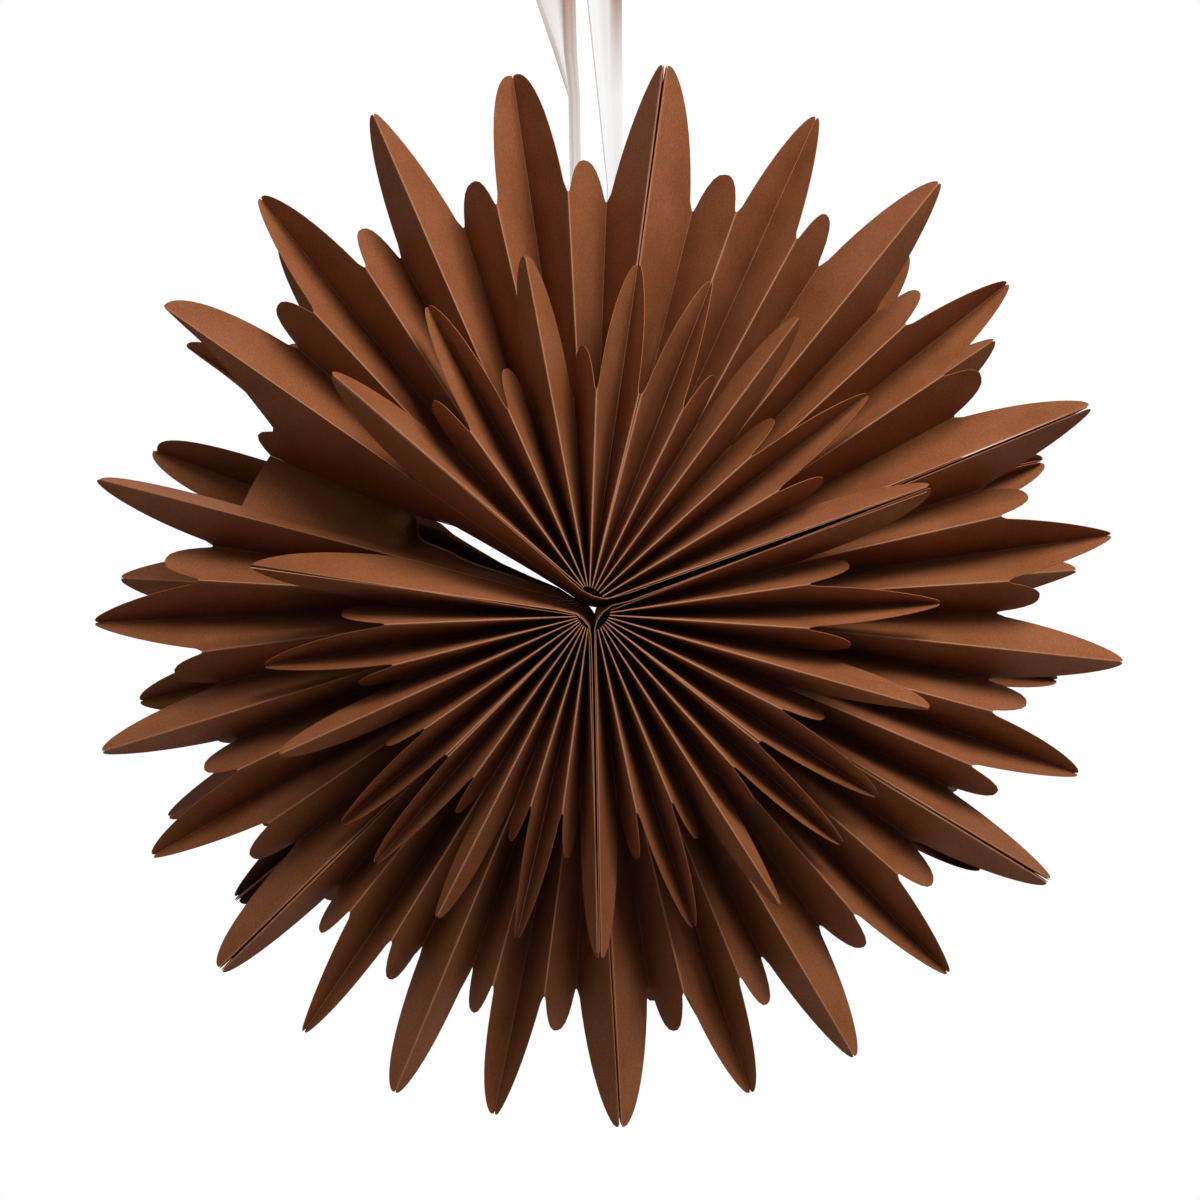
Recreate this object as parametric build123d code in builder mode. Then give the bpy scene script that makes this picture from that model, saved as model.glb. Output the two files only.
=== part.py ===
"""Folded paper snowflake: a ring of three packs of pleated, leaf-cut sheets, hung from a flat ribbon.

The star's axis runs along Y and its front faces -Y. Angles are clock angles: degrees clockwise from the
top, as seen from the front. The origin is at the top of the ribbon's loop, where the star hangs.
"""

import os
from dataclasses import dataclass
from math import cos, radians, sin

from build123d import *

# Sheets and seams
paper = 0.25
glue_gap = 0.1

# Where the star hangs below the top of the ribbon's loop
hang_drop = 402.0
hang_side = 10.0

# Hub
hub_radius = 4.0
apex_offset = 6.5
bend_radius = 4.0
bend_side = 2.2

# Small tier: radii of the leaf tips and of the notches between leaves
small_tip = 192.0
small_short_tip = 143.0
small_notch = 117.0
small_pleats = 5

# Large tier
large_tip = 300.0
large_short_tip = 255.0
large_notch = 231.0
large_pleats = 6
large_front_right = 3.8
large_front_up = 4.3

# Pleats: how far a valley lies behind its ridges at the hub, and how much less at the leaf tips
pleat_at_hub = 42.0
small_pleat_loss = 4.0
large_pleat_loss = 10.0
small_pleat_at_tip = pleat_at_hub - small_pleat_loss
large_pleat_at_tip = pleat_at_hub - large_pleat_loss

# Depths, built up from mid depth: the space between the two large tiers, then each tier in front of the last
middle_gap = 48.0
tier_gap = 2.0
large_ridge = middle_gap / 2 + pleat_at_hub
small_ridge = large_ridge + tier_gap + pleat_at_hub

# Cover sheets: plain tabs between the two large tiers, and where covers meet at mid depth
tab_radius = 216.0
tab_inset = 34.0
tab_depth = large_ridge - tab_inset
join_radius = 118.0

# Ribbon, as points right of and above the star's axis
ribbon_width = 12.0
ribbon_thickness = 0.3
ribbon_start = (-1.2, 9.9)
ribbon_left = [(-13.5, 250.0), (-25.0, 372.0), (-17.5, 396.0)]
ribbon_right = [(-2.5, 396.0), (4.5, 372.0), (9.0, 250.0)]
ribbon_end = (1.2, 9.9)
ribbon_route = [ribbon_start, *ribbon_left, *ribbon_right, ribbon_end]
ribbon_radii = [1.0, 400.0, 30.0, 9.0, 9.0, 30.0, 400.0, 1.0]

# Clock angles of the seams between units: a pack's start, its middle, the next pack's start, and so on.
# The ring stays open between the last angle and the first.
small_front_seams = [-49.3, 12.3, 70.7, 129.6, 179.5, 224.8, 276.6]
large_front_seams = [-56.9, 6.3, 68.5, 122.7, 178.2, 226.2, 283.1]
large_back_seams = [-58.2, 7.8, 72.4, 124.4, 181.0, 230.6, 289.2]
small_back_seams = [-53.0, 11.0, 72.0, 128.0, 181.0, 229.0, 284.0]

# Clock angles of the covers' ends between the two large tiers, at the four pack ends
tab_front_ends = [-61.4, 69.2, 178.7, 284.5]
middle_ends = [-65.6, 70.2, 179.4, 294.4]
tab_back_ends = [-61.0, 71.2, 180.2, 291.0]

# Shape of a leaf's edge: corners along it, how full the curve is, and half the width of its blunt tip
half_leaf_corners = 4
half_leaf_fullness = 1.5
short_leaf_corners = 5
short_leaf_fullness = 2.3
blunt_tip = 2.5

packs = 3
sheet_step = paper + glue_gap
seam_side = sheet_step / 2
star_centre = Vector(hang_side, 0, -hang_drop)


def spoke(angle, radius, depth=0.0, side=0.0):
    """Point at a clock angle and radius from the star's axis, moved clockwise by side."""
    turn = radians(angle)
    across = radius * sin(turn) + side * cos(turn)
    up = radius * cos(turn) - side * sin(turn)
    return star_centre + Vector(across, depth, up)


@dataclass
class Fold:
    """A straight fold line, from its inner end at the hub to its outer end."""

    inner: Vector
    outer: Vector

    def back(self, distance):
        """Point at a distance in from the outer end."""
        return self.outer - (self.outer - self.inner).normalized() * distance


@dataclass
class Tier:
    """One ring of six pleated fans."""

    name: str
    seams: list
    pleats: int
    tip: float
    short_tip: float
    notch: float
    ridge: float
    pleat_at_tip: float
    shift: Vector

    @property
    def inward(self):
        """Direction along Y from the ridges to the valleys."""
        return -1.0 if self.ridge > 0 else 1.0

    @property
    def leaf(self):
        """Length of a long leaf, from its tip to the notch beside it."""
        return self.tip - self.notch


tiers = [
    Tier(
        "front_small_fan", small_front_seams, small_pleats, small_tip, small_short_tip, small_notch,
        -small_ridge, small_pleat_at_tip, Vector(0, 0, 0),
    ),
    Tier(
        "front_large_fan", large_front_seams, large_pleats, large_tip, large_short_tip, large_notch,
        -large_ridge, large_pleat_at_tip, Vector(large_front_right, 0, large_front_up),
    ),
    Tier(
        "back_large_fan", large_back_seams, large_pleats, large_tip, large_short_tip, large_notch,
        large_ridge, large_pleat_at_tip, Vector(0, 0, 0),
    ),
    Tier(
        "back_small_fan", small_back_seams, small_pleats, small_tip, small_short_tip, small_notch,
        small_ridge, small_pleat_at_tip, Vector(0, 0, 0),
    ),
]
front_small, front_large, back_large, back_small = tiers


def leaf_edge(base, reach, height, fullness, shares):
    """Corners of a leaf's edge: full height above its base at share 0, falling to none at share 1 or -1."""
    return [base + reach * share + height * (1 - abs(share) ** fullness) for share in shares]


def half_leaf(fold, beside, notch_point, length):
    """Facets of a wall with half a long leaf on one fold, cut down to a notch on the fold beside it."""
    base = fold.back(length)
    blunt_base = base + (notch_point - base).normalized() * blunt_tip
    shares = [corner / half_leaf_corners for corner in range(half_leaf_corners)]
    edge = leaf_edge(blunt_base, notch_point - blunt_base, fold.outer - base, half_leaf_fullness, shares)
    blade = [fold.inner, fold.outer, *edge, notch_point]
    return [blade, [fold.inner, notch_point, beside.inner]]


def short_leaf(fold, beside, length, short_length):
    """Facets of a wall with a short leaf between two notches."""
    start = fold.back(length)
    end = beside.back(length)
    reach = (end - start) * 0.5
    height = (fold.outer - fold.inner).normalized() * short_length
    steps = short_leaf_corners + 1
    shares = [2 * corner / steps - 1 for corner in range(1, steps)]
    edge = leaf_edge(start + reach, reach, height, short_leaf_fullness, shares)
    return [[fold.inner, start, *edge, end], [fold.inner, end, beside.inner]]


def glue_flap(tier, fold, has_leaf):
    """The flap behind a fan's last ridge, glued to the flap of the next fan."""
    depth = Vector(0, tier.inward * tier.pleat_at_tip, 0)
    rear = Fold(fold.inner + depth, fold.outer + depth)
    notch = rear.back(tier.leaf)
    if has_leaf:
        blade = half_leaf(fold, rear, notch, tier.leaf)[0]
        return [[*blade, rear.inner]]
    return [[fold.inner, fold.back(tier.leaf), notch, rear.inner]]


def pack_apex(tier, pack):
    """The point near the axis where a pack's fold lines meet."""
    middle = (tier.seams[2 * pack] + tier.seams[2 * pack + 2]) / 2
    return spoke(middle, apex_offset)


def fan_folds(tier, unit):
    """Fold lines of one fan, from its pack's end to the middle of the pack."""
    lines = 2 * tier.pleats
    apex = pack_apex(tier, unit // 2)
    from_start = unit % 2 == 0
    pack_end = tier.seams[unit] if from_start else tier.seams[unit + 1]
    middle = tier.seams[unit + 1] if from_start else tier.seams[unit]
    clockwise = 1.0 if from_start else -1.0
    folds = []
    for line in range(lines + 1):
        angle = pack_end + (middle - pack_end) * line / lines
        side = 0.0
        if line == 0:
            side = clockwise * (seam_side + sheet_step)
        if line == lines:
            side = -clockwise * seam_side
        is_valley = line % 2 == 1
        hub_depth = tier.ridge + is_valley * tier.inward * pleat_at_hub
        tip_depth = tier.ridge + is_valley * tier.inward * tier.pleat_at_tip
        tip = spoke(angle, tier.tip) + tier.shift
        slip = spoke(angle, 0, 0, side) - star_centre
        hub = apex + (tip - apex).normalized() * hub_radius
        folds.append(Fold(hub + slip + Vector(0, hub_depth, 0), tip + slip + Vector(0, tip_depth, 0)))
    return folds


def fan_facets(tier, unit):
    """Every flat facet of one fan: two to a wall, and the glue flap at the middle of its pack."""
    folds = fan_folds(tier, unit)
    facets = []
    for line, (fold, beside) in enumerate(zip(folds, folds[1:])):
        if line % 3 == 0:
            facets += half_leaf(fold, beside, beside.back(tier.leaf), tier.leaf)
        elif line % 3 == 1:
            facets += short_leaf(fold, beside, tier.leaf, tier.short_tip - tier.notch)
        else:
            facets += half_leaf(beside, fold, fold.back(tier.leaf), tier.leaf)
    last_line = len(folds) - 1
    return facets + glue_flap(tier, folds[-1], last_line % 3 == 0)


def cover_fold(pack, at_end, ends, radius, depth, side=seam_side, shift=Vector(0, 0, 0)):
    """A line of a cover from its bend at the hub to its outer edge, at one end of the pack."""
    inside = -1.0 if at_end else 1.0
    bend = spoke(middle_ends[pack + at_end], bend_radius, depth, inside * bend_side)
    outer = spoke(ends[pack + at_end], radius, depth, inside * side)
    return Fold(bend, outer + shift)


def cover_end(pack, at_end):
    """Facets of one end of a cover: two half leaves and a plain tab, at the front and at the back."""
    inside = -1.0 if at_end else 1.0
    middle = cover_fold(pack, at_end, middle_ends, tab_radius, 0)
    join = spoke(middle_ends[pack + at_end], join_radius, 0, inside * seam_side)
    tab_share = (large_tip - tab_radius) / (large_tip - bend_radius)
    tab_side = seam_side + (bend_side - seam_side) * tab_share
    facets = []
    for small, large, tab_ends in [
        (front_small, front_large, tab_front_ends),
        (back_small, back_large, tab_back_ends),
    ]:
        outside = -small.inward
        small_fold = cover_fold(pack, at_end, small.seams[::2], small.tip, small.ridge, shift=small.shift)
        large_fold = cover_fold(pack, at_end, large.seams[::2], large.tip, large.ridge, shift=large.shift)
        tab_fold = cover_fold(pack, at_end, tab_ends, tab_radius, outside * tab_depth, tab_side)
        notch = large_fold.back(large.tip - small.notch)
        facets += half_leaf(small_fold, large_fold, notch, small.leaf)
        facets += half_leaf(large_fold, tab_fold, tab_fold.outer, large.tip - tab_radius)
        facets.append([tab_fold.inner, tab_fold.outer, join])
        facets.append([tab_fold.outer, middle.outer, join])
        facets.append([tab_fold.inner, join, middle.inner])
    return facets


def cover_facets(pack):
    """Every flat facet of a cover: its two ends and the strip that bends round the hub."""
    corners = [
        spoke(middle_ends[pack + at_end], bend_radius, depth, side)
        for at_end, side, depth in [
            (0, bend_side, -small_ridge),
            (1, -bend_side, -small_ridge),
            (1, -bend_side, small_ridge),
            (0, bend_side, small_ridge),
        ]
    ]
    return [corners, *cover_end(pack, 0), *cover_end(pack, 1)]


def facet_plane(points, across):
    """The plane of a facet, moved half the paper's thickness back along the direction it is thickened in."""
    first, second, last = points[0], points[1], points[-1]
    normal = (second - first).cross(last - first)
    return Plane(first - across * (paper / 2), x_dir=second - first, z_dir=normal)


def fan_across(tier, unit):
    """Direction across a fan's pleats, in which its walls are thickened."""
    middle = (tier.seams[unit] + tier.seams[unit + 1]) / 2
    return spoke(middle, 0, 0, 1) - star_centre


def cover_across(pack):
    """Direction from the hub out through the middle of a pack, in which its cover is thickened."""
    return spoke((middle_ends[pack] + middle_ends[pack + 1]) / 2, 1) - star_centre


sheets = {
    f"{tier.name}_{unit + 1}": (fan_facets(tier, unit), fan_across(tier, unit))
    for tier in tiers
    for unit in range(2 * packs)
}
sheets |= {f"cover_{pack + 1}": (cover_facets(pack), cover_across(pack)) for pack in range(packs)}

os.makedirs("parts", exist_ok=True)

# Folded sheets: each facet is sketched on its own plane and given the paper's thickness
for name, (facets, across) in sheets.items():
    with BuildPart() as sheet:
        for facet in facets:
            plane = facet_plane(facet, across)
            corners = [plane.to_local_coords(point - across * (paper / 2)) for point in facet]
            with BuildSketch(plane):
                with BuildLine():
                    Polyline(*corners, close=True)
                make_face()
        extrude(amount=paper, dir=across)
    sheet.part.label = name
    export_step(sheet.part, f"parts/{name}.step")

# Ribbon
with BuildPart() as ribbon:
    with BuildSketch(Plane.XZ):
        with BuildLine():
            FilletPolyline(
                *[(star_centre.X + right, star_centre.Z + up) for right, up in ribbon_route],
                radius=ribbon_radii,
                close=True,
            )
        loop = make_face()
        offset(loop, amount=ribbon_width / 2, mode=Mode.REPLACE)
        offset(loop, amount=-ribbon_width / 2, mode=Mode.SUBTRACT)
    extrude(amount=ribbon_thickness / 2, both=True)
ribbon.part.label = "hanging_ribbon"
export_step(ribbon.part, "parts/hanging_ribbon.step")
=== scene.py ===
"""Looks of the folded paper snowflake: pleated sheets in four rings, three covers and a sheer ribbon.

Lengths are in millimetres about the star's centre until a mesh is made. The star's axis runs along Y, and
the camera looks along +Y. Angles are clock angles, clockwise from the top as seen from the camera.
"""

import math
import random

import bmesh
import bpy
import numpy as np
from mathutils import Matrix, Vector


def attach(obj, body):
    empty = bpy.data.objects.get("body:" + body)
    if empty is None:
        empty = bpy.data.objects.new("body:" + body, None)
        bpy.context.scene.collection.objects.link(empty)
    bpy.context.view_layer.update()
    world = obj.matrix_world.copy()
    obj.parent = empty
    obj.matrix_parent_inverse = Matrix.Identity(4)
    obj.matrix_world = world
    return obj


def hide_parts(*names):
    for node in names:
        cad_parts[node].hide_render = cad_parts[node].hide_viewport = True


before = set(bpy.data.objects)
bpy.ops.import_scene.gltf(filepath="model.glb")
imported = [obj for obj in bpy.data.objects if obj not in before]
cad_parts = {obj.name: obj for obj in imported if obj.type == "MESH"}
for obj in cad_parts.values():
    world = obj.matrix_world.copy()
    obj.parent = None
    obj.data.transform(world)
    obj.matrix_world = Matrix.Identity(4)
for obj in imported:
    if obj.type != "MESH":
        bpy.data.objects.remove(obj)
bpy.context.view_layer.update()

rng = random.Random(11)
millimetre = 0.001

# Star centre in the part's frame, and the camera on the star's axis
star_centre = np.array([10.0, 0.0, -402.0])
camera_depth = -1191.0
photo_size = 1200
photo_focal = 1977.0
photo_axis = (597.0, 603.0)

# Paper: its thickness, and the radius of a fold, which is less near the hub
paper_thickness = 0.3
crease_radius = 0.42
hub_crease_radius = 0.14
crease_growth = 0.006

# Radii of the leaf tips in the four rings, and the depths of their ridges from mid depth
small_front_tip = 192.5
large_front_tip = 301.0
large_back_tip = 297.0
small_back_tip = 192.0
small_ridge = 110.0
large_ridge = 66.0
pleat_at_hub = 42.0

# The front large ring sits a little to the right and up
no_shift = (0.0, 0.0, 0.0)
large_front_shift = (3.8, 0.0, 4.3)

# Half the gap between two packs at a radius, and where a cover's share of it opens, from mid depth
seam_gap = 0.6
seam_radius = 300.0
seam_closed_depth = 20.0
seam_opening_run = 40.0
# Clearances from the seam: of a cover, and of a fan's first fold at its tip and at the hub
cover_clearance = 0.05
fold_clearance = 0.15
hub_clearance = 0.3
# Half the slit at the middle of a pack, at its tips
middle_slit = 1.25

# The flap behind a fan's last fold: how far it closes the slit again, how soon, and its leaf's curve
flap_closing = 1.2
flap_closing_rate = 1.6
flap_fullness = 4.0
flap_columns = 6
flap_start = 0.03

# How much the hand work varies: leaf lengths, leans, fold angles, pleat depths and bows of the walls
reach_spread = 2.0
lean_spread = 0.4
fold_spread = 0.25
pleat_spread = 2.0
bow_spread = 1.1
valley_fullness = (1.2, 1.45)
ridge_fullness = (1.4, 1.75)
short_lean_spread = 0.1
short_length_range = (0.88, 1.08)

# Angles of the leaf tips, every third fold line, from one end of the open ring to the other
large_front_tips = [
    -56.9, -40.8, -25.6, -9.9, 6.6, 24.0, 39.1, 52.3, 68.8, 83.2, 97.3, 110.6, 122.7,
    137.6, 151.5, 163.5, 178.2, 191.9, 202.8, 214.5, 225.7, 240.0, 252.7, 267.0, 283.1,
]
large_back_tips = [
    -58.2, -41.7, -25.2, -8.7, 7.8, 24.6, 41.5, 56.5, 72.4, 86.1, 99.5, 109.8, 124.4,
    136.5, 150.4, 163.2, 179.0, 191.0, 202.5, 214.5, 230.6, 243.5, 257.9, 273.0, 289.2,
]
# The small rings have one more fold line at the middle of each pack, with no leaf
small_front_tips = [
    -49.3, -29.7, -11.7, 6.9, 12.6, 19.6, 35.3, 52.4, 70.7, 90.0, 107.6, 124.6, 129.6,
    134.5, 148.8, 163.4, 179.5, 193.5, 207.0, 220.4, 224.8, 229.2, 244.5, 259.3, 276.6,
]
small_back_tips = [
    -53.0, -33.8, -14.6, 4.6, 11.0, 17.1, 35.4, 53.7, 72.0, 88.8, 105.6, 122.4, 128.0,
    133.3, 149.2, 165.1, 181.0, 195.4, 209.8, 224.2, 229.0, 234.5, 251.0, 267.5, 284.0,
]

# Front large ring, in the same order: its leaves' tip radii, and the lean of each short leaf between them
large_front_reach = [
    300, 307, 304, 309, 304, 306, 303, 299, 297, 299, 298, 296, 301,
    299, 299, 303, 303, 310, 307, 309, 305, 304, 299, 298, 296,
]
large_front_lean = [
    1.0, 0.4, 0.3, -0.2, 0.8, -0.8, 0.3, -0.7, 0.2, -0.3, 0.0, -0.3,
    0.5, -0.8, 0.1, -0.3, 1.0, 0.3, 0.8, 0.3, 0.6, 0.2, 0.0, 0.0,
]
# Half leaves of that ring that stand out in the photo, by fan and wall: how full their curve is
leaf_shapes = {(0, 0): 1.9, (0, 8): 2.0, (0, 9): 2.0, (1, 5): 1.25, (2, 2): 1.1}
# The first leaf of the back large ring shows past the open seam and is a longer one
seam_leaf_reach = 308.0

# Where each pack's fold lines end at the hub, seen in the photo: first line, middle line, last line
small_hub_ends = [
    [(582.0, 588.5), (592.0, 587.5), (606.0, 600.0)],
    [(611.0, 609.5), (606.0, 622.0), (594.9, 631.0)],
    [(589.6, 630.0), (581.0, 623.0), (575.5, 614.6)],
]
large_hub_ends = [
    [(571.0, 591.0), (593.0, 601.0), (609.0, 599.8)],
    [(610.0, 605.3), (601.0, 611.5), (594.3, 632.0)],
    [(592.8, 632.0), (586.0, 611.5), (568.0, 599.5)],
]

# What the front and the back ring of a tier share: radii of the short tips and notches, and the pleats
small_tier = {
    "short_tip": 143.0,
    "notch": 117.0,
    "pleat_at_tip": 38.0,
    "pleats": 5,
    "hub_ends": small_hub_ends,
}
large_tier = {
    "short_tip": 253.0,
    "notch": 231.0,
    "pleat_at_tip": 32.0,
    "pleats": 6,
    "hub_ends": large_hub_ends,
}


def seen(x, y, depth):
    """Point at a depth that the camera sees at a place in the photo."""
    scale = (depth - camera_depth) / photo_focal
    return np.array([(x - photo_axis[0]) * scale, depth, (photo_axis[1] - y) * scale])


def spoke(angle, radius, depth=0.0):
    """Point at a clock angle and radius."""
    turn = math.radians(angle)
    return np.array([radius * math.sin(turn), depth, radius * math.cos(turn)])


def tangent(angle):
    """Clockwise direction at a clock angle."""
    turn = math.radians(angle)
    return np.array([math.cos(turn), 0.0, -math.sin(turn)])


def unit(vector):
    """Direction of a vector."""
    return vector / np.linalg.norm(vector)


class Ring:
    """Sizes of one ring of six fans."""

    def __init__(self, name, tips, tip, ridge, tier, shift=no_shift, reach=None, lean=None):
        self.name = name
        self.tips = tips
        self.tip = tip
        self.reach = reach or [tip + rng.uniform(-reach_spread, reach_spread) for _ in tips]
        self.lean = lean or [rng.uniform(-lean_spread, lean_spread) for _ in tips[1:]]
        self.leaf = tip - tier["notch"]
        self.short = tier["short_tip"] - tier["notch"]
        self.ridge = ridge
        self.inward = 1.0 if ridge < 0 else -1.0
        self.pleat_at_tip = tier["pleat_at_tip"]
        self.lines = 2 * tier["pleats"]
        self.hub_ends = tier["hub_ends"]
        self.shift = np.array(shift)


front_small = Ring("front_small_fan", small_front_tips, small_front_tip, -small_ridge, small_tier)
front_large = Ring(
    "front_large_fan", large_front_tips, large_front_tip, -large_ridge, large_tier,
    large_front_shift, large_front_reach, large_front_lean,
)
back_large = Ring("back_large_fan", large_back_tips, large_back_tip, large_ridge, large_tier)
back_small = Ring("back_small_fan", small_back_tips, small_back_tip, small_ridge, small_tier)
back_large.reach[0] = seam_leaf_reach


def hub_end(ring, pack, share, depth):
    """Inner end of a fold line at a share of the way across its pack."""
    first, middle, last = [seen(x, y, -small_ridge) for x, y in ring.hub_ends[pack]]
    point = (
        (1 - share) * (1 - 2 * share) * first
        + 4 * share * (1 - share) * middle
        + share * (2 * share - 1) * last
    )
    return np.array([point[0], depth, point[2]])


def fold_angle(ring, tips, lean, line):
    """Clock angle of a fold line: a leaf's own angle, or a share of the way to the next leaf, askew."""
    if line == ring.lines:
        return tips[4]
    before = line // 3
    walls = min(3 * before + 3, ring.lines) - 3 * before
    angle = tips[before] + (tips[before + 1] - tips[before]) * (line - 3 * before) / walls
    if line % 3:
        angle += lean[before] + rng.uniform(-fold_spread, fold_spread)
    return angle


def fan_lines(ring, fan):
    """Fold lines of a fan, from its pack's end to its middle.

    Each has its inner and outer end, its side and depth directions, its kind and its leaf's length."""
    is_first = fan % 2 == 0
    order = 1 if is_first else -1
    tips = ring.tips[4 * fan : 4 * fan + 5][::order]
    reach = ring.reach[4 * fan : 4 * fan + 5][::order]
    lean = ring.lean[4 * fan : 4 * fan + 4][::order]
    whole = abs(tips[-1] - tips[0])
    lines = []
    for line in range(ring.lines + 1):
        angle = fold_angle(ring, tips, lean, line)
        is_valley = line % 2 == 1
        across = abs(angle - tips[0]) / whole * 0.5
        share = across if is_first else 1.0 - across
        pleat_at_tip = ring.pleat_at_tip + rng.uniform(-pleat_spread, pleat_spread)
        hub_depth = ring.ridge + is_valley * ring.inward * pleat_at_hub
        tip_depth = ring.ridge + is_valley * ring.inward * pleat_at_tip
        extra = reach[line // 3] - ring.tip if line % 3 == 0 else 0.0
        inner = hub_end(ring, fan // 2, share, hub_depth)
        outer = spoke(angle, ring.tip + extra, tip_depth) + ring.shift
        side = tangent(angle) * order
        if line == 0:
            inner = inner + side * hub_clearance
            outer = outer + side * (fold_clearance + seam_gap * ring.tip / seam_radius)
        if line == ring.lines:
            outer = outer - side * middle_slit
        lines.append(
            {
                "inner": inner,
                "outer": outer,
                "side": side,
                "back": np.array([0.0, ring.inward, 0.0]) * (-1.0 if is_valley else 1.0),
                "valley": is_valley,
                "leaf": ring.leaf + extra,
            }
        )
    return lines


def leaf_height(share, fullness):
    """Height of a half leaf at a share of the way from its fold to its notch: a blunt tip, then a slope."""
    blunt = 0.05
    return 1.0 - max(0.0, (min(1.0, share) - blunt) / (1.0 - blunt)) ** fullness


# Columns across a fan: five round each fold, with the dips of the notched tip and the wear by turn
fold_turns = (-90, -45, 0, 45, 90)
tip_dips = {0: 1.6, 45: 1.1, 90: 0.3}
turn_wear = {0: 1.0, 45: 0.8, 90: 0.2}
# Columns across a wall crowd towards its leaves, and a narrow slot parts two leaves
wall_steps = 14
wall_crowding = 1.25
leaf_slot = 0.05
short_fullness = 2.3


def fold_columns(lines, line):
    """Columns round a fold."""
    columns = []
    for turn in fold_turns:
        if line == 0 and turn < 0:
            continue
        columns.append(
            {
                "at": line,
                "turn": turn,
                "length": lines[line]["leaf"] - tip_dips[abs(turn)] if line % 3 == 0 else 0.0,
                "crease": turn_wear[abs(turn)],
                "valley": lines[line]["valley"],
            }
        )
    return columns


def wall_columns(ring, fan, lines, line):
    """Columns across the wall after a fold line: half a long leaf, or a short leaf in every third wall."""
    kind = line % 3
    bow = rng.gauss(0.0, bow_spread)
    leaf_line = lines[line if kind == 0 else line + 1]
    fullness = rng.uniform(*(valley_fullness if leaf_line["valley"] else ridge_fullness))
    if ring is front_large:
        fullness = leaf_shapes.get((fan, line), fullness)
    lean = rng.uniform(-short_lean_spread, short_lean_spread)
    short = ring.short * rng.uniform(*short_length_range)
    columns = []
    for step in range(1, wall_steps):
        if kind == 1:
            share = 0.5 + 0.5 * math.sin(math.radians(-90 + 180 * step / wall_steps))
            far = abs(2 * share - 1 - lean * (1 - (2 * share - 1) ** 2)) / (1 - leaf_slot)
            length = short * leaf_height(far, short_fullness) if far < 1 else 0.0
        else:
            steps_from_leaf = step if kind == 0 else wall_steps - step
            from_leaf = (steps_from_leaf / wall_steps) ** wall_crowding
            share = from_leaf if kind == 0 else 1 - from_leaf
            far = from_leaf / (1 - leaf_slot)
            length = leaf_line["leaf"] * leaf_height(far, fullness) if far < 1 else 0.0
        columns.append({"wall": line, "share": share, "length": length, "crease": 0.0, "bow": bow})
    return columns


def fan_columns(ring, fan, lines):
    """All columns across a fan, from its first fold to its last."""
    columns = []
    for line in range(ring.lines):
        columns += fold_columns(lines, line)
        columns += wall_columns(ring, fan, lines, line)
    return columns + fold_columns(lines, ring.lines)


def nose(line, distance, turn):
    """Point on a rounded fold, which is tighter towards the hub, where the pleats crowd together."""
    radius = min(crease_radius, hub_crease_radius + crease_growth * distance)
    along = unit(line["outer"] - line["inner"])
    angle = math.radians(turn)
    sideways = line["side"] * radius * math.sin(angle)
    return line["inner"] + along * distance + sideways + line["back"] * radius * (1 - math.cos(angle))


def body_length(line):
    """Length of a fold line from the hub to the notches beside its leaf."""
    return float(np.linalg.norm(line["outer"] - line["inner"])) - line["leaf"]


# How much of a wall's bow comes in its body and how much in its leaf
bow_in_body = 0.6
bow_in_leaf = 0.4


def fan_point(ring, lines, column, body, leaf):
    """Point of a column at a share of its body, or at a share of its leaf beyond the notches."""
    reach = leaf * column["length"]
    if "at" in column:
        line = lines[column["at"]]
        return nose(line, body * body_length(line) + reach, column["turn"])
    before, after = lines[column["wall"]], lines[column["wall"] + 1]
    share = column["share"]
    start = nose(before, body * body_length(before) + reach, 90)
    end = nose(after, body * body_length(after) + reach, -90)
    point = start * (1 - share) + end * share
    out = np.cross(unit(before["outer"] - before["inner"]), end - start)
    size = np.linalg.norm(out)
    if size > 0:
        far = body * bow_in_body + leaf * column["length"] / ring.leaf * bow_in_leaf
        belly = 4 * share * (1 - share)
        point = point + out / size * (column["bow"] * belly * far**2)
    return point


def flap_points(ring, last, stops):
    """Points of the flap behind a fan's last fold, glued to the next fan."""
    behind = np.array([0.0, ring.inward * ring.pleat_at_tip, 0.0])
    columns = []
    for share in np.linspace(flap_start, 1.0, flap_columns):
        reach = last["leaf"] * leaf_height(share, flap_fullness) if ring.lines % 3 == 0 else 0.0
        closed = min(1.0, flap_closing_rate * share)
        column = []
        for body, leaf in stops:
            start = nose(last, body * body_length(last) + leaf * reach, 90)
            closing = last["side"] * (flap_closing * body - crease_radius) * closed
            column.append(start + behind * share + closing)
        columns.append(column)
    return np.array(columns).transpose(1, 0, 2)


# Wear of the folds: ridges lose some of it along body and leaf, valleys have it only towards the notches
wear_lost_in_body = 0.35
wear_lost_in_leaf = 0.25
valley_wear = 0.4


def column_wear(column, body, leaf):
    """How worn a column's fold is at a share of its body or of its leaf."""
    if column.get("valley"):
        return column["crease"] * (valley_wear * body**3)
    return column["crease"] * (1.0 - wear_lost_in_body * body - wear_lost_in_leaf * leaf)


# Points closer than this many metres become one
merge_distance = 2e-6


def grid_mesh(name, points, marks):
    """Mesh of a grid of points, rows by columns, with a mark value for each point."""
    rows, count = points.shape[:2]
    mesh = bpy.data.meshes.new(name)
    work = bmesh.new()
    layer = work.verts.layers.float.new("crease")
    verts = []
    for row in range(rows):
        for column in range(count):
            vert = work.verts.new((points[row, column] + star_centre) * millimetre)
            vert[layer] = marks[row, column]
            verts.append(vert)
    for row in range(rows - 1):
        for column in range(count - 1):
            a = row * count + column
            work.faces.new((verts[a], verts[a + 1], verts[a + count + 1], verts[a + count]))
    bmesh.ops.remove_doubles(work, verts=work.verts, dist=merge_distance)
    bmesh.ops.recalc_face_normals(work, faces=work.faces)
    work.to_mesh(mesh)
    work.free()
    return mesh


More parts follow.
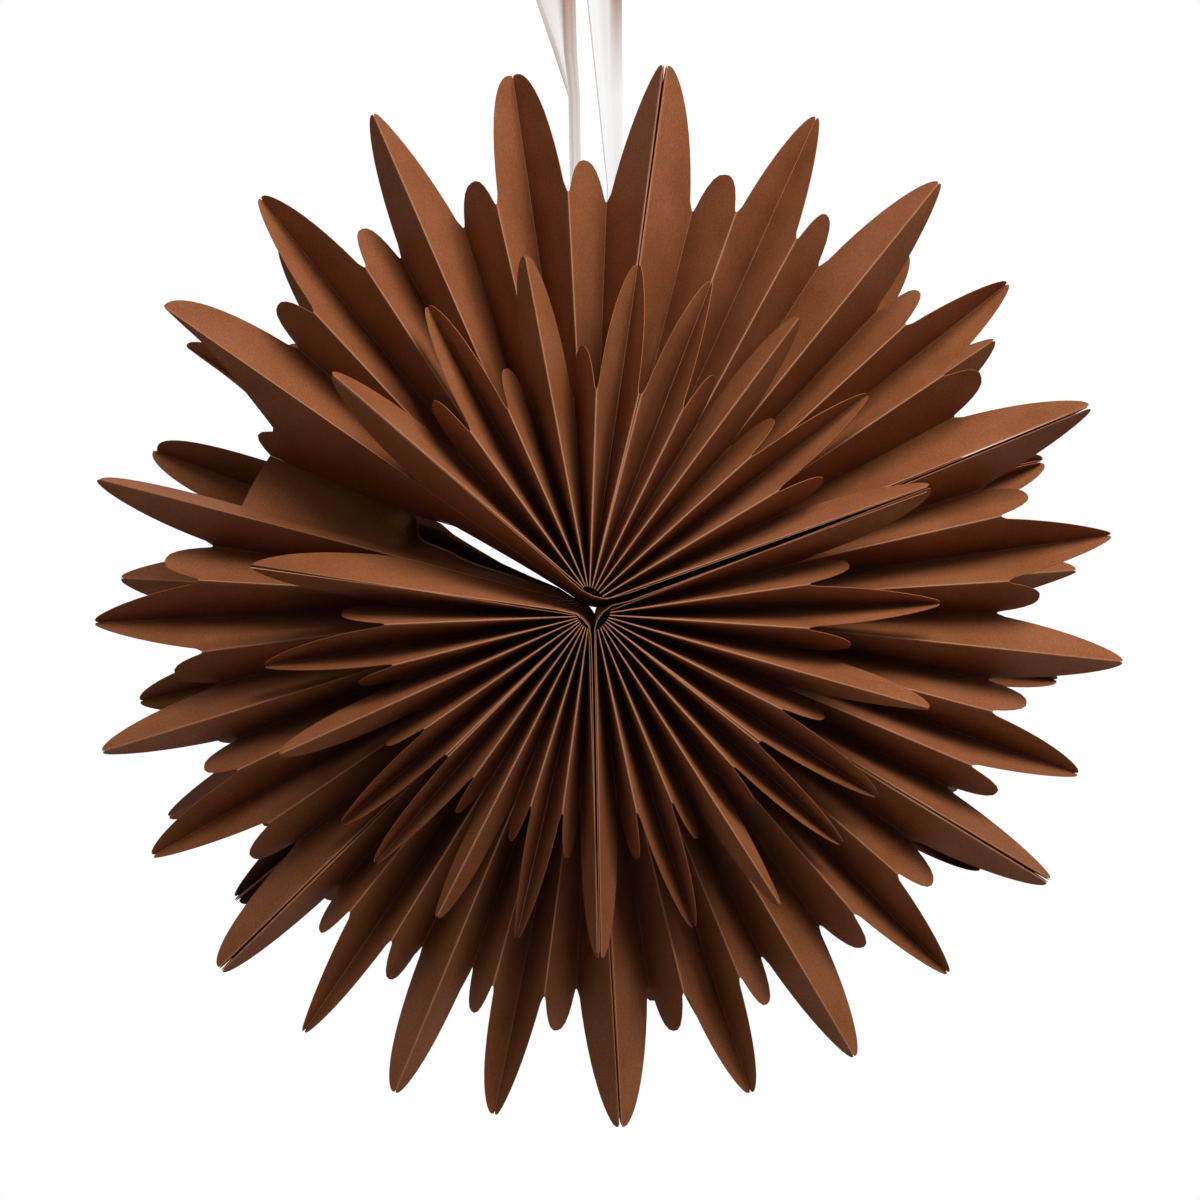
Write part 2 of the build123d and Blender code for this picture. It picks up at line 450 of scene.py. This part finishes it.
def join_meshes(name, meshes):
    """One mesh from several."""
    work = bmesh.new()
    for mesh in meshes:
        work.from_mesh(mesh)
        bpy.data.meshes.remove(mesh)
    joined = bpy.data.meshes.new(name)
    work.to_mesh(joined)
    work.free()
    return joined


def add_object(name, data):
    """Object with its data, in the scene."""
    added = bpy.data.objects.new(name, data)
    bpy.context.scene.collection.objects.link(added)
    return added


def smooth(mesh):
    """Shades a mesh smooth."""
    for polygon in mesh.polygons:
        polygon.use_smooth = True


# Bends over this angle are shaded sharp
sharp_angle = 62


def paper_piece(name, mesh, node):
    """Gives a sheet its thickness, its cut edges and its paper, and puts it in the CAD node's place."""
    mesh.materials.append(paper)
    mesh.materials.append(cut_edge)
    raw = add_object(name + "_raw", mesh)
    solid = raw.modifiers.new("thickness", "SOLIDIFY")
    solid.thickness = paper_thickness * millimetre
    solid.offset = 0.0
    solid.material_offset_rim = 1
    seen_by = bpy.context.evaluated_depsgraph_get()
    thick = bpy.data.meshes.new_from_object(raw.evaluated_get(seen_by))
    bpy.data.objects.remove(raw)
    thick.name = name
    smooth(thick)
    thick.set_sharp_from_angle(angle=math.radians(sharp_angle))
    piece = add_object(name, thick)
    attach(piece, "root")
    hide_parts(node)


def add_noise(tree, place, scale, detail):
    """Noise in the object's own coordinates."""
    noise = tree.nodes.new("ShaderNodeTexNoise")
    noise.inputs["Scale"].default_value = scale
    noise.inputs["Detail"].default_value = detail
    tree.links.new(place.outputs["Object"], noise.inputs["Vector"])
    return noise


def add_ramp(tree, source, low, high):
    """Colour ramp on a node's factor, between two pairs of a position and a colour."""
    ramp = tree.nodes.new("ShaderNodeValToRGB")
    for element, (position, colour) in zip(ramp.color_ramp.elements, (low, high)):
        element.position = position
        element.color = (*colour, 1)
    tree.links.new(source.outputs["Fac"], ramp.inputs["Fac"])
    return ramp


def add_bump(tree, source, strength, distance):
    """Bump from a node's factor."""
    bump = tree.nodes.new("ShaderNodeBump")
    bump.inputs["Strength"].default_value = strength
    bump.inputs["Distance"].default_value = distance
    tree.links.new(source.outputs["Fac"], bump.inputs["Height"])
    return bump


def add_colour_mix(tree, blend):
    """Mix of two colours."""
    mix = tree.nodes.new("ShaderNodeMix")
    mix.data_type = "RGBA"
    mix.blend_type = blend
    return mix


def add_mark(tree):
    """The mark value that a mesh carries: fold wear and painted highlight and sheen on the paper, density
    on the ribbon.
    """
    crease = tree.nodes.new("ShaderNodeAttribute")
    crease.attribute_name = "crease"
    return crease


def add_math(tree, operation, *sources):
    """Calculation with nodes' outputs and plain numbers."""
    node = tree.nodes.new("ShaderNodeMath")
    node.operation = operation
    for entry, source in zip(node.inputs, sources):
        if isinstance(source, float):
            entry.default_value = source
        else:
            tree.links.new(source, entry)
    return node


# Paper's colours, the factors of its specks, and its sheen. The pale colour shows worn folds and paints the
# highlight and sheen at the curled tab.
paper_dark = (0.240, 0.078, 0.027)
paper_pale = (0.312, 0.108, 0.044)
paper_wear_and_highlight = (0.70, 0.33, 0.19)
speck_dark = (0.8, 0.8, 0.8)
speck_pale = (1.2, 1.2, 1.2)
paper_roughness = 0.58
paper_specular = 0.08


def make_paper(name, light, mark_strength):
    """Brown paper: mottled, faintly fibrous and satin, paler along its worn folds and where a highlight and
    sheen are painted.
    """
    material = bpy.data.materials.new(name)
    material.use_nodes = True
    tree = material.node_tree
    shader = tree.nodes["Principled BSDF"]
    shader.inputs["Roughness"].default_value = paper_roughness
    shader.inputs["Specular IOR Level"].default_value = paper_specular
    place = tree.nodes.new("ShaderNodeTexCoord")
    clouds = add_noise(tree, place, scale=26.0, detail=4.0)
    grain = add_noise(tree, place, scale=900.0, detail=3.0)
    waves = add_noise(tree, place, scale=32.0, detail=2.0)
    dark, pale = [[part * light for part in colour] for colour in (paper_dark, paper_pale)]
    tone = add_ramp(tree, clouds, (0.3, dark), (0.72, pale))
    specks = add_ramp(tree, grain, (0.3, speck_dark), (0.7, speck_pale))

    speckled = add_colour_mix(tree, "MULTIPLY")
    speckled.inputs["Factor"].default_value = 1.0
    tree.links.new(tone.outputs["Color"], speckled.inputs["A"])
    tree.links.new(specks.outputs["Color"], speckled.inputs["B"])
    # Pales the paper for fold wear and for the painted highlight and sheen
    amount = add_math(tree, "MULTIPLY", add_mark(tree).outputs["Fac"], mark_strength)
    worn_and_highlit = add_colour_mix(tree, "MIX")
    worn_and_highlit.inputs["B"].default_value = (*paper_wear_and_highlight, 1)
    tree.links.new(amount.outputs[0], worn_and_highlit.inputs["Factor"])
    tree.links.new(speckled.outputs["Result"], worn_and_highlit.inputs["A"])
    tree.links.new(worn_and_highlit.outputs["Result"], shader.inputs["Base Color"])

    fine = add_bump(tree, grain, strength=0.12, distance=0.0004)
    broad = add_bump(tree, waves, strength=0.25, distance=0.004)
    tree.links.new(fine.outputs["Normal"], broad.inputs["Normal"])
    tree.links.new(broad.outputs["Normal"], shader.inputs["Normal"])
    return material


paper = make_paper("brown_paper", light=1.0, mark_strength=0.75)
cut_edge = make_paper("paper_cut_edge", light=1.5, mark_strength=0.6)

# Fans: rows of points along their bodies, then along their leaves
body_rows = 11
leaf_rows = 12
fan_stops = [(row / body_rows, 0.0) for row in range(body_rows + 1)]
fan_stops += [(1.0, row / leaf_rows) for row in range(1, leaf_rows + 1)]


def make_fan(ring, fan):
    """One pleated sheet with the flap behind its last fold."""
    lines = fan_lines(ring, fan)
    columns = fan_columns(ring, fan, lines)
    pleats = np.array([[fan_point(ring, lines, column, *stop) for column in columns] for stop in fan_stops])
    mark_rows = np.array([[column_wear(column, *stop) for column in columns] for stop in fan_stops])
    flap = flap_points(ring, lines[-1], fan_stops)
    points = np.concatenate([pleats, flap], axis=1)
    marks = np.concatenate([mark_rows, np.zeros(flap.shape[:2])], axis=1)
    name = f"{ring.name}_{fan + 1}"
    paper_piece("paper_" + name, grid_mesh(name, points, marks), name)


for ring in (front_small, front_large, back_large, back_small):
    for fan in range(6):
        make_fan(ring, fan)

# Covers: their plain tabs between the half leaves, and the number of points along each end
tab_depth = 32.0
tab_radius = 216.0
cover_steps = 62
# Their bends round the hub as the photo shows them, at the front edge and at mid depth
bends_at_front = [
    [(557, 568), (572, 582), (581, 589.5), (592, 595.6), (603, 598.4), (612, 597.6), (630, 592.5)],
    [(630, 601), (612, 605.5), (603, 612.4), (597, 620.8), (594.6, 630), (594.7, 645), (595, 664)],
    [(592, 664), (590.7, 635), (588.5, 626), (583, 619.5), (576, 614), (557, 610), (505, 602.5)],
]
bends_at_middle = [
    [(556, 585.5), (568, 593), (578, 600), (588, 605.8), (596, 607.2), (606, 603.6), (625, 597)],
    [(625, 597), (606, 603.6), (597.2, 607), (595.6, 609.5), (594.4, 615), (594.8, 640), (594.8, 664)],
    [(594.8, 664), (594.8, 640), (594.4, 615), (592.2, 611), (588.6, 606.4), (572, 597.2), (556, 587)],
]
# The depth at which the bends at the middle are seen
middle_bend_depth = -40.0
# Where the covers' ends turn: depth, share of the middle bend, sideways shift, angles of the four ends
stations = [
    (-small_ridge, 0.0, no_shift, [-49.3, 70.7, 179.5, 276.6]),
    (-large_ridge, 0.6, large_front_shift, [-56.9, 68.8, 178.2, 283.1]),
    (-tab_depth, 1.0, no_shift, [-61.4, 69.2, 178.7, 284.5]),
    (0.0, 1.0, no_shift, [-65.6, 70.2, 179.4, 294.4]),
    (tab_depth, 1.0, no_shift, [-61.0, 71.2, 180.0, 293.5]),
    (large_ridge, 0.6, no_shift, [-58.2, 72.4, 179.0, 289.2]),
    (small_ridge, 0.0, no_shift, [-53.0, 72.0, 181.0, 284.0]),
]
# Bow of the covers at the open seam, at mid depth: distance from the bend, and the sheet's move clockwise
upper_bow = [
    (0, 0.0), (14, 3.3), (29, 5.2), (49, 6.7), (69, 7.3), (80, 5.8), (100, 2.8), (130, 1.2), (185, 0.0),
]
lower_front_bow = [
    (0, 0.0), (5, -3.2), (14, -4.3), (29, -5.9), (47, -8.1), (57, -8.9), (69, -8.2), (85, -9.0),
    (89, -7.0), (92, -2.0), (95, 2.5), (100, 3.2), (185, 0.0),
]
lower_back_bow = [
    (0, 0.0), (19, -0.8), (37, -0.8), (55, 1.0), (70, 2.8), (81, 6.0), (100, 3.2), (185, 0.0),
]
# The depth at which the bow of a front half ends. That of a back half ends at the large ridges.
front_bow_depth = 40.0
# The half leaf below the open seam opens out towards its tip, from a distance on
seam_flare = 6.0
flare_start = 160.0
flare_run = 90.0
# The columns of a cover whose edge at mid depth is the rim of the curled tab, and its turned-up lip
curl_columns = (cover_steps + 7, cover_steps + 37)
lip_height = 1.1
lip_taper = 6
lip_direction = 288.0
# The lip and the rim are pale from wear and from a painted highlight
lip_wear_and_highlight = 1.3
rim_wear_and_highlight = 0.7
# Painted sheen on the paper beside the lip's rounded end, by rows from the edge and by columns from the lip
painted_sheen_rows = [(-1, 0.8), (-2, 0.8), (-3, 0.55), (-4, 0.3)]
painted_sheen_columns = np.array([1.0, 0.9, 0.7, 0.4, 0.15])
# The front and back edges of a cover are worn too
edge_wear = 0.8
# The rear half of the upper tab at the open seam is a little longer, and rounded
rear_tab_extra = 15.0
# Sections across a half leaf, as shares of its depth, and across half a tab, as depths
leaf_shares = [k / 14 for k in range(15)]
tab_depths = [28, 24, 19, 14, 9, 4, 0]
# The half leaves at the covers' four ends: how full they are, and their tip radii, short of the fans' tips
small_fullness = [1.6] * 4
large_fullness = [0.5, 1.5, 1.5, 2.3]
small_ends = [191.0] * 4
tip_inset = 1.5
large_front_ends = [
    reach - tip_inset + float(spoke(angle, 1.0) @ front_large.shift)
    for reach, angle in zip(front_large.reach[::8], stations[1][3])
]
large_back_ends = [reach - tip_inset for reach in back_large.reach[::8]]


def table_value(table, distance):
    """Value at a distance in a table of distances and values."""
    return float(np.interp(distance, [row[0] for row in table], [row[1] for row in table]))


def between(depth):
    """The stations before and after a depth, and the share of the way between them."""
    for before, after in zip(stations, stations[1:]):
        if depth <= after[0]:
            return before, after, (depth - before[0]) / (after[0] - before[0])
    raise ValueError(depth)


def cover_bend(pack, depth):
    """Points of a cover's bend round the hub at a depth."""
    before, after, share = between(depth)
    middle = before[1] * (1 - share) + after[1] * share
    points = []
    for front, deep in zip(bends_at_front[pack], bends_at_middle[pack]):
        point = seen(*front, -small_ridge) * (1 - middle) + seen(*deep, middle_bend_depth) * middle
        points.append(np.array([point[0], depth, point[2]]))
    return points


def seam_bow(pack, at_end, behind):
    """The bow of a cover's end if it is at the open seam."""
    if pack == 0 and at_end == 0:
        return upper_bow
    if pack == 2 and at_end == 1:
        return lower_back_bow if behind else lower_front_bow
    return None


def cover_end(pack, at_end, start, depth, reach, behind):
    """Points of a cover's first or last end at a depth, from its bend out to a radius."""
    before, after, share = between(depth)
    angle = before[3][pack + at_end] * (1 - share) + after[3][pack + at_end] * share
    shift = np.array(before[2]) * (1 - share) + np.array(after[2]) * share
    clockwise = tangent(angle)
    inside = -1.0 if at_end else 1.0
    opening = min(1.0, max(0.0, abs(depth) - seam_closed_depth) / seam_opening_run)
    apart = cover_clearance + seam_gap * opening
    outer = spoke(angle, seam_radius, depth) + shift + clockwise * inside * apart
    along = unit(outer - start)
    whole = reach - np.linalg.norm(start[[0, 2]])
    table = seam_bow(pack, at_end, behind)
    weight = max(0.0, 1.0 - abs(depth) / (large_ridge if behind else front_bow_depth))
    flare = 0.0
    if table is lower_front_bow:
        from_ridge = (large_ridge - abs(depth)) / (large_ridge - tab_depth)
        flare = max(0.0, min(abs(depth) / tab_depth, from_ridge))
    points = []
    for step in range(1, cover_steps + 1):
        distance = whole * step / cover_steps
        point = start + along * distance
        if table:
            point = point + clockwise * weight * table_value(table, distance)
        point = point + clockwise * seam_flare * flare * max(0.0, (distance - flare_start) / flare_run)
        points.append(point)
    return points


def cover_sheet(pack, depths, reaches, behind):
    """Sections of a cover by depth: in along one end of its pack, round the hub and out along the other."""
    sections = []
    for depth, reach in zip(depths, reaches):
        bend = cover_bend(pack, depth)
        first = cover_end(pack, 0, bend[0], depth, reach[0], behind)
        last = cover_end(pack, 1, bend[-1], depth, reach[1], behind)
        sections.append(first[::-1] + bend + last)
    return np.array(sections)


def half_leaf_reaches(pack, notch, tips, fullness):
    """Radii of a cover's edge at its two ends, across a half leaf from its fold to its notch."""
    reaches = []
    for share in leaf_shares:
        heights = [leaf_height(share, fullness[end]) for end in (pack, pack + 1)]
        reaches.append([notch + (tips[pack + k] - notch) * heights[k] for k in range(2)])
    return reaches


def add_lip(points, marks):
    """Turns up the curled tab's edge at mid depth, pale from wear and from a painted highlight, and paints
    sheen on the paper beside its end.
    """
    first, last = curl_columns
    lift = np.zeros(points.shape[1])
    lift[first : last + 1] = lip_height * np.minimum(1.0, np.arange(last - first + 1) / lip_taper)
    lift[last] = 0.5 * lip_height
    rows, mark_rows = [points], [marks]
    for turn in (30, 60, 90):
        angle = math.radians(turn)
        up = tangent(lip_direction) * (1 - math.cos(angle)) + np.array([0.0, math.sin(angle), 0.0])
        rows.append((points[-1] + lift[:, None] * up)[None])
        mark_rows.append((lip_wear_and_highlight * (lift > 0))[None])
    # Wear and a painted highlight along the rim
    marks[-1, first : last + 1] = rim_wear_and_highlight
    # Paints sheen on the paper beside the lip's rounded end
    for row, amount in painted_sheen_rows:
        marks[row, last + 1 : last + 1 + len(painted_sheen_columns)] = amount * painted_sheen_columns
    return np.concatenate(rows), np.concatenate(mark_rows)


def small_strip(pack, sign):
    """Strip of a cover beside the small tier, with its half leaves."""
    depths = [sign * (small_ridge - (small_ridge - large_ridge) * share) for share in leaf_shares]
    reaches = half_leaf_reaches(pack, small_tier["notch"], small_ends, small_fullness)
    points = cover_sheet(pack, depths, reaches, sign > 0)
    marks = np.zeros(points.shape[:2])
    marks[0] = edge_wear
    return grid_mesh("strip", points, marks)


def large_strip(pack, sign):
    """Strip of a cover beside the large tier, with its half leaves and half of its tabs."""
    behind = sign > 0
    depths = [sign * (large_ridge - (large_ridge - tab_depth) * share) for share in leaf_shares]
    depths += [sign * depth for depth in tab_depths]
    tips = large_back_ends if behind else large_front_ends
    reaches = half_leaf_reaches(pack, tab_radius, tips, large_fullness)
    for depth in tab_depths:
        longer = rear_tab_extra * math.sin(math.pi * depth / tab_depth) if pack == 0 and behind else 0.0
        reaches.append([tab_radius + longer, tab_radius])
    points = cover_sheet(pack, depths, reaches, behind)
    marks = np.zeros(points.shape[:2])
    if pack == 2 and not behind:
        points, marks = add_lip(points, marks)
    return grid_mesh("strip", points, marks)


for pack in range(3):
    strips = []
    for sign in (-1.0, 1.0):
        strips.append(small_strip(pack, sign))
        strips.append(large_strip(pack, sign))
    name = f"cover_{pack + 1}"
    paper_piece("paper_" + name, join_meshes(name, strips), name)

# Ribbon: its strands at heights above the star's axis, with the edges of four bands and how dense each is,
# which sets both its alpha and its painted shade
strand_left = [
    (8, (-6.0, -5.8, -5.5, -3.0, 0.0), (0.3, 0.3, 0.5, 0.5)),
    (60, (-9.0, -8.8, -8.5, -5.5, -2.5), (0.3, 0.3, 0.5, 0.5)),
    (150, (-12.5, -12.2, -12.0, -9.0, -6.0), (0.3, 0.3, 0.5, 0.5)),
    (258, (-16.4, -16.1, -15.8, -12.8, -9.7), (0.4, 0.4, 0.5, 0.4)),
    (305, (-17.2, -16.7, -16.3, -13.2, -10.3), (0.6, 0.5, 0.65, 0.5)),
    (333, (-26.5, -22.7, -19.6, -16.0, -12.2), (0.7, 0.15, 0.8, 0.65)),
    (363, (-36.7, -33.5, -20.2, -16.6, -12.9), (0.65, 0.3, 0.9, 0.8)),
    (380, (-36.0, -33.0, -20.0, -16.0, -12.5), (0.6, 0.3, 0.8, 0.8)),
    (392, (-28.0, -25.0, -18.0, -13.0, -10.5), (0.5, 0.3, 0.6, 0.6)),
]
strand_right = [
    (8, (0.0, 0.5, 2.0, 4.0, 6.0), (0.3, 0.1, 0.2, 0.3)),
    (60, (2.0, 2.5, 4.0, 6.0, 9.0), (0.3, 0.1, 0.2, 0.3)),
    (150, (5.0, 5.6, 7.0, 9.0, 12.5), (0.3, 0.1, 0.1, 0.2)),
    (252, (6.0, 6.6, 8.4, 10.2, 15.4), (0.55, 0.06, 0.05, 0.15)),
    (305, (0.3, 1.2, 5.4, 8.4, 15.3), (0.55, 0.03, 0.06, 0.14)),
    (333, (-2.7, -1.8, 3.6, 9.0, 15.1), (0.5, 0.03, 0.16, 0.45)),
    (363, (-6.0, -4.8, 1.8, 9.0, 15.0), (0.5, 0.05, 0.28, 0.85)),
    (380, (-6.5, -5.0, 1.5, 8.0, 13.5), (0.5, 0.1, 0.3, 0.8)),
    (392, (-7.5, -6.0, -1.0, 4.0, 7.0), (0.5, 0.2, 0.3, 0.6)),
]
# The loop's top: two rows across the ribbon, each from a place and by a step to the right and up
loop_rows = [((-19.0, 390.0), (0.6, 0.9)), ((-10.0, 391.0), (0.0, 0.9))]
loop_density = 0.5
ribbon_columns = 13
ribbon_steps = 4
# The cloth ripples in depth: how far, and how fast across it and along it
ripple_depth = 1.2
ripple_across = 1.9
ripple_along = 0.01
# The cloth's colours, which are painted shade on white cloth, its sheen, its least alpha, and how much
# alpha its gathers add
sheer_cloth_painted_shade = (0.46, 0.42, 0.39)
gathered_cloth_painted_shade = (0.36, 0.17, 0.085)
cloth_roughness = 0.6
cloth_specular = 0.2
cloth_least_alpha = 0.08
cloth_added_alpha = 0.9


def make_cloth():
    """Sheer white cloth in painted shade, grey where thin and browner where gathered, and less see-through
    there.
    """
    material = bpy.data.materials.new("sheer_ribbon")
    material.use_nodes = True
    tree = material.node_tree
    shader = tree.nodes["Principled BSDF"]
    shader.inputs["Roughness"].default_value = cloth_roughness
    shader.inputs["Specular IOR Level"].default_value = cloth_specular
    dense = add_mark(tree)
    # Painted shade: grey on the sheer cloth, browner where it is gathered
    shade = add_ramp(tree, dense, (0.0, sheer_cloth_painted_shade), (1.0, gathered_cloth_painted_shade))
    tree.links.new(shade.outputs["Color"], shader.inputs["Base Color"])
    weave = add_math(tree, "MULTIPLY_ADD", dense.outputs["Fac"], cloth_added_alpha, cloth_least_alpha)
    tree.links.new(weave.outputs[0], shader.inputs["Alpha"])
    return material


def strand_row(height, edges, bands):
    """Points across a strand, three to a band: place, height and density."""
    row = []
    for k in range(ribbon_columns):
        band = min(k // 3, 3)
        share = k / 3 - band
        row.append((edges[band] * (1 - share) + edges[band + 1] * share, height, bands[band]))
    return row


def ribbon_rows():
    """Rows across the ribbon: up its left strand, over the loop's top and down its right strand."""
    rows = [strand_row(*row) for row in strand_left]
    for (x, height), (right, up) in loop_rows:
        rows.append([(x + right * k, height + up * k, loop_density) for k in range(ribbon_columns)])
    rows += [strand_row(*row)[::-1] for row in reversed(strand_right)]
    rows = np.array(rows)
    fine_rows = []
    for before, after in zip(rows, rows[1:]):
        for step in range(ribbon_steps):
            fine_rows.append(before * (1 - step / ribbon_steps) + after * step / ribbon_steps)
    return np.array([*fine_rows, rows[-1]])


places, heights, densities = ribbon_rows().transpose(2, 0, 1)
ripple = ripple_depth * np.sin(ripple_across * np.arange(ribbon_columns) + ripple_along * heights)
ribbon_points = np.stack([places, ripple, heights], axis=2)
ribbon_mesh = grid_mesh("ribbon", ribbon_points, densities)
ribbon_mesh.materials.append(make_cloth())
smooth(ribbon_mesh)
ribbon = add_object("sheer_hanging_ribbon", ribbon_mesh)
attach(ribbon, "root")
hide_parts("hanging_ribbon")

# Stage: floor, lamps, world and camera, in metres and watts
centre = star_centre * millimetre
floor_radius = 1.5
floor_height = -1.3
lamp_size = 0.7
lamps = [
    ("key", (0.42, -0.75, 0.62), 15.2),
    ("front", (0.5, -1.1, 0.5), 1.2),
    ("left", (-0.8, -0.8, 0.3), 1.6),
    ("right", (0.95, -0.6, 0.2), 2.5),
    ("back", (0.01, 1.5, -0.4), 16.0),
]
sky_strength = 0.04
# The camera's sensor width is in millimetres
sensor_width = 36.0


def make_floor():
    """Round pale floor, below the picture."""
    mesh = bpy.data.meshes.new("floor")
    work = bmesh.new()
    bmesh.ops.create_circle(work, cap_ends=True, radius=floor_radius, segments=64)
    work.to_mesh(mesh)
    work.free()
    paint = bpy.data.materials.new("floor_paint")
    paint.use_nodes = True
    shader = paint.node_tree.nodes["Principled BSDF"]
    shader.inputs["Base Color"].default_value = (0.8, 0.8, 0.8, 1)
    shader.inputs["Roughness"].default_value = 0.7
    mesh.materials.append(paint)
    floor = add_object("floor", mesh)
    floor.location = (0.0, 0.0, floor_height)


def add_lamp(name, place, power):
    """A soft square lamp that looks at the star's centre."""
    light = bpy.data.lights.new(name, "AREA")
    light.size = lamp_size
    light.energy = power
    lamp = add_object(name, light)
    lamp.location = place
    lamp.rotation_euler = (Vector(centre) - Vector(place)).to_track_quat("-Z", "Y").to_euler()


def make_world():
    """Dim sky as a light, and plain white for camera, glossy and transmission rays."""
    world = bpy.data.worlds.new("studio")
    world.use_nodes = True
    tree = world.node_tree
    sky = tree.nodes["Background"]
    sky.inputs["Color"].default_value = (1.0, 1.0, 1.0, 1)
    sky.inputs["Strength"].default_value = sky_strength
    white = tree.nodes.new("ShaderNodeBackground")
    white.inputs["Color"].default_value = (1.0, 1.0, 1.0, 1)
    white.inputs["Strength"].default_value = 1.0
    ray = tree.nodes.new("ShaderNodeLightPath")
    seen_or_glossy = add_math(tree, "MAXIMUM", ray.outputs["Is Camera Ray"], ray.outputs["Is Glossy Ray"])
    shows_white = add_math(tree, "MAXIMUM", seen_or_glossy.outputs[0], ray.outputs["Is Transmission Ray"])
    choose = tree.nodes.new("ShaderNodeMixShader")
    tree.links.new(shows_white.outputs[0], choose.inputs["Fac"])
    tree.links.new(sky.outputs["Background"], choose.inputs[1])
    tree.links.new(white.outputs["Background"], choose.inputs[2])
    tree.links.new(choose.outputs["Shader"], tree.nodes["World Output"].inputs["Surface"])
    return world


def make_camera():
    """The photo's camera, straight in front of the star, with the picture shifted to its axis."""
    lens = bpy.data.cameras.new("camera")
    lens.sensor_width = sensor_width
    lens.lens = photo_focal / photo_size * sensor_width
    lens.shift_x = (photo_size / 2 - photo_axis[0]) / photo_size
    lens.shift_y = (photo_axis[1] - photo_size / 2) / photo_size
    camera = add_object("camera", lens)
    camera.location = (centre[0], camera_depth * millimetre, centre[2])
    camera.rotation_euler = (math.radians(90), 0, 0)
    return camera


make_floor()
for name, place, power in lamps:
    add_lamp(name, place, power)
scene = bpy.context.scene
scene.world = make_world()
scene.camera = make_camera()

# Render: one diffuse bounce keeps the valleys dark
scene.render.engine = "CYCLES"
scene.cycles.samples = 192
scene.cycles.use_denoising = True
scene.cycles.max_bounces = 8
scene.cycles.diffuse_bounces = 1
scene.cycles.transparent_max_bounces = 16
scene.render.resolution_x = photo_size
scene.render.resolution_y = photo_size
scene.view_settings.view_transform = "Standard"
